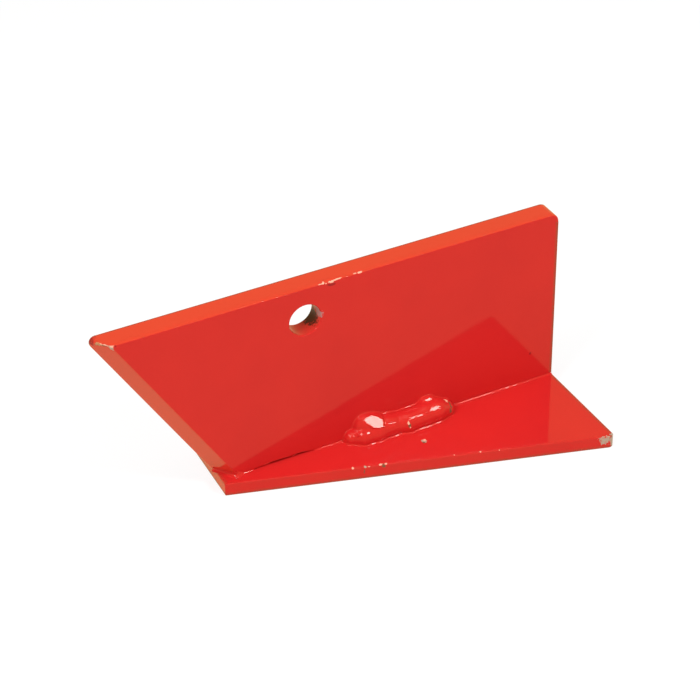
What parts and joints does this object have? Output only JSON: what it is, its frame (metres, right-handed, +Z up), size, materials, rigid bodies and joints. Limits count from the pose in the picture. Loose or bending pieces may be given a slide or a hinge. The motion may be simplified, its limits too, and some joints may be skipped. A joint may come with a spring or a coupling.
{
  "type": "plough share",
  "caption": "Welded plough share: an upright cutting plate with a leaning bevelled nose and a bolt hole, set on a tapering foot plate, painted.",
  "frame": {"origin": "bottom centre of the bounding box, on the underside of the foot plate", "axes": "+X from the leaning nose to the square rear end, +Y from the wing side to the back side along the bolt hole, +Z up"},
  "size_m": [0.2032, 0.0794, 0.086],
  "materials": {
    "plate_paint": "gloss",
    "foot_paint": "gloss",
    "weld_paint": "gloss"
  },
  "bodies": {
    "root": {"upright_plate": "plate_paint", "foot_plate": "foot_paint", "wing_weld": "weld_paint", "back_weld": "weld_paint"}
  },
  "joints": []
}
